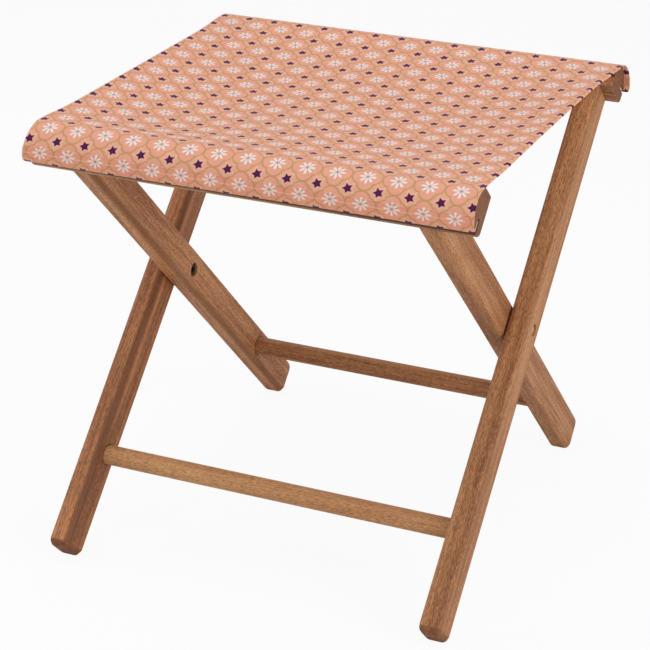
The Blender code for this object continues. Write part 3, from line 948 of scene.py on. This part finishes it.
def star_distance(material, x, y):
    """How far a point is outside a five-pointed star that leans a little to the left."""
    along, across = folded(material, y, x, 5, STAR_TURN)
    notch = Vector((math.cos(math.pi / 5), math.sin(math.pi / 5))) * STAR_TIP * STAR_NOTCH
    side = (notch - Vector((STAR_TIP, 0))).normalized()
    from_tip = calc(material, "MULTIPLY", calc(material, "SUBTRACT", along, STAR_TIP), side.y)
    return calc(material, "SUBTRACT", from_tip, calc(material, "MULTIPLY", across, side.x))


def flat_place(material):
    uv = add_node(material, "ShaderNodeUVMap", uv_map="flat_cloth").outputs[0]
    return uv, axis_of(material, uv, "X"), axis_of(material, uv, "Y")


def printed_colour(material, flat_x, flat_y):
    """The colours of the print at a place on the flat cloth."""
    across = calc(material, "DIVIDE", calc(material, "SUBTRACT", flat_x, PRINT_ASIDE), PRINT_PITCH)
    along = calc(material, "DIVIDE", calc(material, "SUBTRACT", flat_y, FLOWER_ROW), PRINT_PITCH)
    flower_x, flower_y = wrapped(material, across), wrapped(material, along)
    star_x, star_y = wrapped(material, across, 0.5), wrapped(material, along, 0.5)
    side_x = calc(material, "ABSOLUTE", flower_x)
    side_y = calc(material, "ABSOLUTE", flower_y)
    along_lobe = calc(material, "SUBTRACT", calc(material, "MAXIMUM", side_x, side_y), LOBE_MIDDLE)
    to_lobe = distance_from(material, along_lobe, calc(material, "MINIMUM", side_x, side_y))
    outside_star = star_distance(material, star_x, star_y)
    in_line = below(material, to_lobe, LOBE_RADIUS + LINE_WIDTH, LINE_SOFTNESS)
    colour = mix(material, in_line, CELL_PEACH, LINE_TAN)
    colour = mix(material, below(material, to_lobe, LOBE_RADIUS, LINE_SOFTNESS), colour, CELL_PINK)
    colour = mix(material, below(material, outside_star, STAR_RIM, STAR_RIM), colour, STAR_GLOW)
    ink = mix(material, below(material, outside_star, STAR_CORE, CORE_SOFTNESS), STAR_MAROON, STAR_PURPLE)
    colour = mix(material, below(material, outside_star, 0.0), colour, ink)
    to_flower = distance_from(material, flower_x, flower_y)
    shade = below(material, to_flower, DAISY_SHADE, SHADE_SOFTNESS)
    colour = mix(material, shade, colour, DAISY_GAP)
    colour = mix(material, daisy_mask(material, flower_x, flower_y), colour, DAISY_WHITE)
    return mix(material, below(material, to_flower, DAISY_EYE, EYE_SOFTNESS), colour, EYE_ROSE)


print(f"print repeats every {PRINT_PITCH * 1000:.1f} mm")

# %% [markdown]
# Cotton is not ink on paper. Its threads cross every half millimetre, some a little darker than others,
# and the doubled hem lets less light through, so its colour is deeper, with a broken line of painted shade
# along its ridge.
# The weave is two sine waves, the uneven dye is soft noise, and a little sheen gives the pale bloom that
# cotton has at a low angle.

# %% Cotton
THREAD_PITCH = 0.00055
DYE_SCALE = 70.0
SLUB_SCALE = 260.0
SLUB_SQUEEZE = (1, 14, 1)
# Painted shade along the hem's ridge: its width, softness and breaks.
CREASE_SHADE_WIDTH = 0.0006
CREASE_SHADE_SOFTNESS = 0.0005
CREASE_SHADE_BREAKS = 120.0
HEM_DEEPER = screen_colour(254, 243, 238)
# Painted shade: the brown of the line along the hem's ridge.
CREASE_SHADE_BROWN = screen_colour(168, 106, 84)
REVERSE_WHITE = screen_colour(244, 230, 222)


def weave_height(material, flat_x, flat_y):
    warp = calc(material, "SINE", calc(material, "MULTIPLY", flat_x, 2 * math.pi / THREAD_PITCH))
    weft = calc(material, "SINE", calc(material, "MULTIPLY", flat_y, 2 * math.pi / THREAD_PITCH))
    return calc(material, "MULTIPLY", warp, weft)


def with_hem(material, colour, uv, flat_y):
    """Deepens the colour of both hems, and paints a broken line of shade along their ridge."""
    past_ridge = calc(material, "SUBTRACT", calc(material, "ABSOLUTE", flat_y), printed_place(hem_ridge))
    at_hem = remap(material, past_ridge, -HEM_STEP, 0.0)
    colour = mix(material, at_hem, colour, mix(material, 1.0, colour, HEM_DEEPER, "MULTIPLY"))
    # Painted shade: a thin brown line, broken by noise, along the hem's ridge.
    ridge_shade = below(material, calc(material, "ABSOLUTE", past_ridge), CREASE_SHADE_WIDTH, CREASE_SHADE_SOFTNESS)
    broken = remap(material, noise(material, uv, CREASE_SHADE_BREAKS), 0.42, 0.60, 0.0, 0.55)
    return mix(material, calc(material, "MULTIPLY", ridge_shade, broken), colour, CREASE_SHADE_BROWN)


def cotton(name, reverse=False):
    material, shader = new_finish(name)
    uv, flat_x, flat_y = flat_place(material)
    colour = printed_colour(material, flat_x, flat_y)
    if reverse:
        colour = mix(material, 0.82, colour, REVERSE_WHITE)
    else:
        colour = with_hem(material, colour, uv, flat_y)
    dye = noise(material, uv, DYE_SCALE, 4.0, 0.6)
    slub = noise(material, placed(material, uv, scale=SLUB_SQUEEZE), SLUB_SCALE, 2.0, 0.6)
    uneven = calc(material, "MULTIPLY_ADD", dye, 0.6, calc(material, "MULTIPLY", slub, 0.4))
    shade = remap(material, uneven, 0.25, 0.75, 0.93, 1.05)
    colour = mix(material, 1.0, colour, shade, "MULTIPLY")
    feed(material, shader.inputs["Base Color"], colour)
    shader.inputs["Roughness"].default_value = 0.88
    shader.inputs["Specular IOR Level"].default_value = 0.2
    shader.inputs["Sheen Weight"].default_value = 0.08
    shader.inputs["Sheen Roughness"].default_value = 0.5
    threads = calc(material, "MULTIPLY_ADD", weave_height(material, flat_x, flat_y), 0.5, slub)
    bump(material, shader, threads, 0.00012, 0.6)
    return material


printed_cotton = cotton("printed_cotton")
for slot_finish in (printed_cotton, cotton("cotton_reverse", reverse=True), printed_cotton, printed_cotton):
    cloth.data.materials.append(slot_finish)
print("cotton printed on its face, pale on its reverse")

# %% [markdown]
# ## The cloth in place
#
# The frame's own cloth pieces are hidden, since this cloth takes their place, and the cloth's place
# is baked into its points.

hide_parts("front_cloth_wrap", "rear_cloth_wrap", "front_seat_cloth", "rear_seat_cloth")
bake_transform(cloth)

# %% [markdown]
# ## Hem stitches
#
# A row of pale lockstitch runs along each hem. It could be drawn in the print, but thread stands up from
# the cloth. One stitch is a small sphere pulled long in edit mode, half sunk in the cloth, and an Array
# modifier repeats it along the rail. The rows sit on their rails, so they ride the frames.

# %% Thread
THREAD_PINK = screen_colour(242, 192, 168)
THREAD_PALE = screen_colour(254, 222, 204)

thread, thread_shader = new_finish("pale_thread")
thread_own = add_node(thread, "ShaderNodeTexCoord").outputs["Object"]
thread_twist = noise(thread, thread_own, 1500.0, 2.0)
feed(thread, thread_shader.inputs["Base Color"], mix(thread, thread_twist, THREAD_PINK, THREAD_PALE))
thread_shader.inputs["Roughness"].default_value = 0.8
bump(thread, thread_shader, thread_twist, 0.0001, 0.5)
print(f"{thread.name} spun")

# %% Stitches
STITCH_ABOVE_GROOVE = 0.0100
STITCH_PITCH = 0.0027
STITCH_LENGTH = 0.0026
STITCH_THICKNESS = 0.0006
STITCH_INSET = 0.004
SLOPE_STEP = 0.001

stitch_line = hem_start - STITCH_ABOVE_GROOVE


def stitch_row(end):
    """A row of stitches along one hem, from one side edge of the cloth to the other."""
    sign = -1 if end == "front" else 1
    y, z = along_path(middle_points, middle_lengths, stitch_line)
    y0, z0 = along_path(middle_points, middle_lengths, stitch_line - SLOPE_STEP)
    slope = Vector((y - y0, z - z0)).normalized()
    left = -HEM_EDGE[end, "left"] + STITCH_INSET
    right = HEM_EDGE[end, "right"] - STITCH_INSET
    place = Vector((left, sign * (y - slope.y * HEM_THICKNESS), z + slope.x * HEM_THICKNESS))
    bpy.ops.object.select_all(action="DESELECT")
    bpy.ops.mesh.primitive_uv_sphere_add(segments=8, ring_count=6, radius=STITCH_THICKNESS / 2)
    row = bpy.context.object
    row.name = f"{end}_hem_stitches"
    bpy.ops.object.mode_set(mode="EDIT")
    bpy.ops.mesh.select_all(action="SELECT")
    bpy.ops.transform.resize(value=(STITCH_LENGTH / STITCH_THICKNESS, 1, 1))
    bpy.ops.transform.translate(value=place)
    bpy.ops.object.mode_set(mode="OBJECT")
    bpy.ops.object.shade_smooth()
    repeat = row.modifiers.new("repeat", "ARRAY")
    repeat.count = int((right - left) / STITCH_PITCH)
    repeat.use_relative_offset = False
    repeat.use_constant_offset = True
    repeat.constant_offset_displace = (STITCH_PITCH, 0, 0)
    bpy.ops.object.modifier_apply(modifier="repeat")
    for vertex in row.data.vertices:
        stand_off = hem_flare(2 * vertex.co.x / CLOTH_WIDTH, sign * stitch_line)
        vertex.co.y += sign * stand_off * math.cos(LEG_TILT)
        vertex.co.z -= stand_off * math.sin(LEG_TILT)
    row.data.materials.append(thread)
    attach(row, "inner_frame" if end == "front" else "outer_frame")
    print(f"{row.name}: {len(row.data.polygons)} faces")
    return row


stitches = [stitch_row("front"), stitch_row("rear")]
